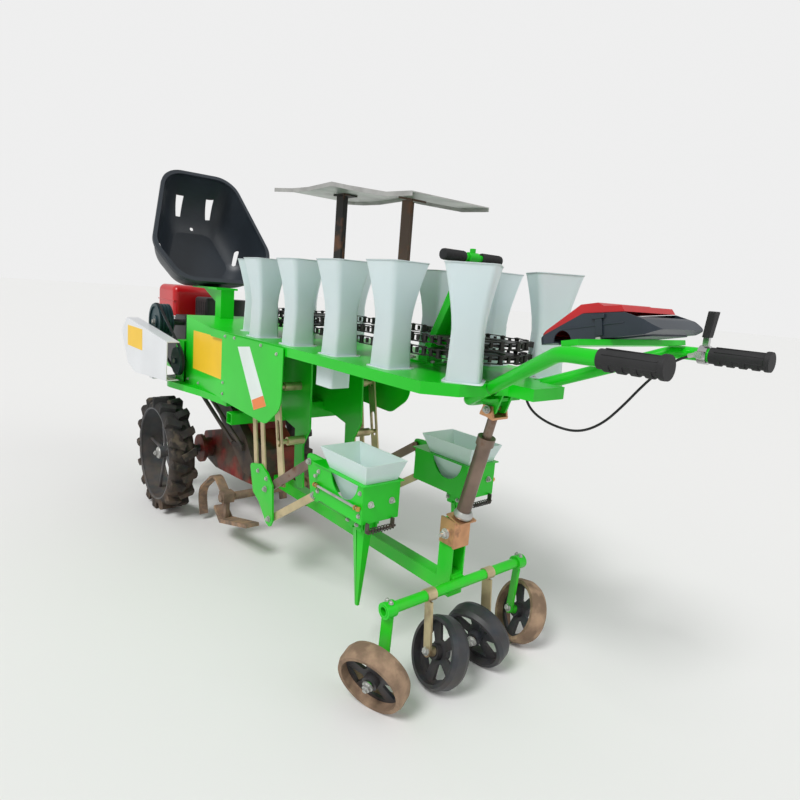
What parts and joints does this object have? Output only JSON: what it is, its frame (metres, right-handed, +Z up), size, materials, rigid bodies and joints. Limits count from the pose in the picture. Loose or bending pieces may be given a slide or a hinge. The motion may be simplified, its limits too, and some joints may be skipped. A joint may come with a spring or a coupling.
{
  "type": "riding vegetable transplanter",
  "caption": "Self-propelled vegetable seedling transplanter: seat, table with rotating drop cups, twin beak planters, lugged drive wheels, cambered press wheels and a handlebar.",
  "frame": {"origin": "on the floor under the middle of the whole machine", "axes": "+X to the handlebar end, +Y away from the belt guard, +Z up from the floor"},
  "size_m": [2.6673, 0.6833, 1.4511],
  "materials": {
    "green_paint": "gloss",
    "light_grey_paint": "gloss",
    "red_paint": "gloss",
    "dark_red_paint": "satin",
    "black_paint": "satin",
    "blue_green_paint": "satin",
    "tyre_rubber": "matt, dusty",
    "wheel_grey": "dusty",
    "wheel_plastic": "matt, dusty",
    "zinc_gold": "passivated",
    "galvanised": "galvanised",
    "bare_steel": "worn",
    "rusty_steel": "rusty",
    "milky_plastic": "translucent",
    "seat_plastic": "satin",
    "box_plastic": "satin",
    "red_plastic": "satin",
    "black_rubber": "matt",
    "chain_steel": "oiled",
    "soil_steel": "soil covered",
    "engine_black": "satin",
    "chrome_steel": "bright"
  },
  "bodies": {
    "frame": {"gauge_beam": "green_paint", "cross_bar": "green_paint", "screw_column": "bare_steel", "column_brackets": "zinc_gold", "chassis_rails": "green_paint", "gearbox": "dark_red_paint", "chain_case": "black_paint", "stays": "black_paint", "tines": "soil_steel", "engine_block": "engine_black", "engine_cowl": "red_paint", "muffler": "black_paint", "belt_drive": "blue_green_paint", "belt_guard": "light_grey_paint", "cover_box": "green_paint", "fenders": "green_paint", "side_plates": "green_paint", "table": "green_paint", "cups": "milky_plastic", "cup_chain": "chain_steel", "sprockets": "chain_steel", "drop_tubes": "milky_plastic", "seat_shell": "seat_plastic", "seat_post": "green_paint", "tray": "galvanised", "tray_posts": "rusty_steel", "lever_strut": "green_paint", "handlebar": "green_paint", "grips": "black_rubber", "clutch_lever": "chrome_steel", "clutch_cable": "black_rubber", "tool_box": "box_plastic", "planter_brackets": "green_paint", "lift_guides": "zinc_gold", "outer_press_arms": "green_paint", "inner_press_arms": "zinc_gold"},
    "drive_wheel_near": {"drive_tyre_near": "tyre_rubber", "drive_rim_near": "wheel_grey"},
    "drive_wheel_far": {"drive_tyre_far": "tyre_rubber", "drive_rim_far": "wheel_grey"},
    "press_wheel_outer_near": {"press_wheel_outer_near": "wheel_plastic"},
    "press_wheel_outer_far": {"press_wheel_outer_far": "wheel_plastic"},
    "press_wheel_inner_near": {"press_wheel_inner_near": "wheel_plastic"},
    "press_wheel_inner_far": {"press_wheel_inner_far": "wheel_plastic"},
    "upper_link_near": {"upper_link_near": "black_paint"},
    "lower_link_near": {"lower_link_near": "zinc_gold"},
    "planter_head_near": {"planter_box_near": "green_paint", "funnel_near": "milky_plastic"},
    "lift_rod_near": {"lift_rod_near": "zinc_gold"},
    "front_jaw_near": {"front_jaw_near": "green_paint"},
    "rear_jaw_near": {"rear_jaw_near": "green_paint"},
    "upper_link_far": {"upper_link_far": "black_paint"},
    "lower_link_far": {"lower_link_far": "zinc_gold"},
    "planter_head_far": {"planter_box_far": "green_paint", "funnel_far": "milky_plastic"},
    "lift_rod_far": {"lift_rod_far": "zinc_gold"},
    "front_jaw_far": {"front_jaw_far": "green_paint"},
    "rear_jaw_far": {"rear_jaw_far": "green_paint"},
    "tool_box_lid": {"tool_box_lid": "red_plastic"}
  },
  "joints": [
    {"name": "drive_wheel_near_spin", "type": "hinge", "parent": "frame", "child": "drive_wheel_near", "pos_m": [-0.752, -0.271, 0.242], "axis": [0, 1, 0], "continuous": true},
    {"name": "drive_wheel_far_spin", "type": "hinge", "parent": "frame", "child": "drive_wheel_far", "pos_m": [-0.752, 0.271, 0.242], "axis": [0, 1, 0], "continuous": true},
    {"name": "press_wheel_outer_near_spin", "type": "hinge", "parent": "frame", "child": "press_wheel_outer_near", "pos_m": [0.77, -0.275, 0.0903], "axis": [-0.3214, 0.883, 0.342], "continuous": true},
    {"name": "press_wheel_outer_far_spin", "type": "hinge", "parent": "frame", "child": "press_wheel_outer_far", "pos_m": [0.77, 0.275, 0.0903], "axis": [-0.3214, -0.883, 0.342], "continuous": true},
    {"name": "press_wheel_inner_near_spin", "type": "hinge", "parent": "frame", "child": "press_wheel_inner_near", "pos_m": [0.785, -0.072, 0.09087], "axis": [-0.1651, -0.9366, 0.309], "continuous": true},
    {"name": "press_wheel_inner_far_spin", "type": "hinge", "parent": "frame", "child": "press_wheel_inner_far", "pos_m": [0.785, 0.072, 0.09087], "axis": [-0.1651, 0.9366, 0.309], "continuous": true},
    {"name": "planter_swing_near", "type": "hinge", "parent": "frame", "child": "upper_link_near", "pos_m": [0.062, -0.2, 0.325], "axis": [0, 1, 0], "range_deg": [-4, 42]},
    {"name": "lower_link_turn_near", "type": "hinge", "parent": "frame", "child": "lower_link_near", "pos_m": [0.094, -0.2, 0.232], "axis": [0, 1, 0], "range_deg": [-4, 42]},
    {"name": "planter_head_turn_near", "type": "hinge", "parent": "upper_link_near", "child": "planter_head_near", "pos_m": [0.32821, -0.2, 0.49525], "axis": [0, -1, 0], "range_deg": [-4, 42]},
    {"name": "lift_rod_slide_near", "type": "slide", "parent": "frame", "child": "lift_rod_near", "axis": [-0.2011, 0, 0.9796], "range_m": [-0.0614, 0.0063]},
    {"name": "front_jaw_turn_near", "type": "hinge", "parent": "planter_head_near", "child": "front_jaw_near", "pos_m": [0.548, -0.186, 0.398], "axis": [0, 1, 0], "range_deg": [0, 12]},
    {"name": "rear_jaw_turn_near", "type": "hinge", "parent": "planter_head_near", "child": "rear_jaw_near", "pos_m": [0.588, -0.186, 0.398], "axis": [0, -1, 0], "range_deg": [0, 12]},
    {"name": "planter_swing_far", "type": "hinge", "parent": "frame", "child": "upper_link_far", "pos_m": [0.062, 0.2, 0.325], "axis": [0, 1, 0], "range_deg": [-4, 42]},
    {"name": "lower_link_turn_far", "type": "hinge", "parent": "frame", "child": "lower_link_far", "pos_m": [0.094, 0.2, 0.232], "axis": [0, 1, 0], "range_deg": [-4, 42]},
    {"name": "planter_head_turn_far", "type": "hinge", "parent": "upper_link_far", "child": "planter_head_far", "pos_m": [0.32821, 0.2, 0.49525], "axis": [0, -1, 0], "range_deg": [-4, 42]},
    {"name": "lift_rod_slide_far", "type": "slide", "parent": "frame", "child": "lift_rod_far", "axis": [-0.2011, 0, 0.9796], "range_m": [-0.0614, 0.0063]},
    {"name": "front_jaw_turn_far", "type": "hinge", "parent": "planter_head_far", "child": "front_jaw_far", "pos_m": [0.548, 0.186, 0.398], "axis": [0, 1, 0], "range_deg": [0, 12]},
    {"name": "rear_jaw_turn_far", "type": "hinge", "parent": "planter_head_far", "child": "rear_jaw_far", "pos_m": [0.588, 0.186, 0.398], "axis": [0, -1, 0], "range_deg": [0, 12]},
    {"name": "tool_box_lid_hinge", "type": "hinge", "parent": "frame", "child": "tool_box_lid", "pos_m": [0.99797, 0, 0.935], "axis": [0, -1, 0], "range_deg": [0, 75]}
  ],
  "couplings": [
    {"joint": "lower_link_turn_near", "follows": "planter_swing_near", "ratio": 1},
    {"joint": "planter_head_turn_near", "follows": "planter_swing_near", "ratio": 1},
    {"joint": "lift_rod_slide_near", "follows": "planter_swing_near", "m_per_rad": -0.08311},
    {"joint": "rear_jaw_turn_near", "follows": "front_jaw_turn_near", "ratio": 1},
    {"joint": "lower_link_turn_far", "follows": "planter_swing_far", "ratio": 1},
    {"joint": "planter_head_turn_far", "follows": "planter_swing_far", "ratio": 1},
    {"joint": "lift_rod_slide_far", "follows": "planter_swing_far", "m_per_rad": -0.08311},
    {"joint": "rear_jaw_turn_far", "follows": "front_jaw_turn_far", "ratio": 1}
  ]
}
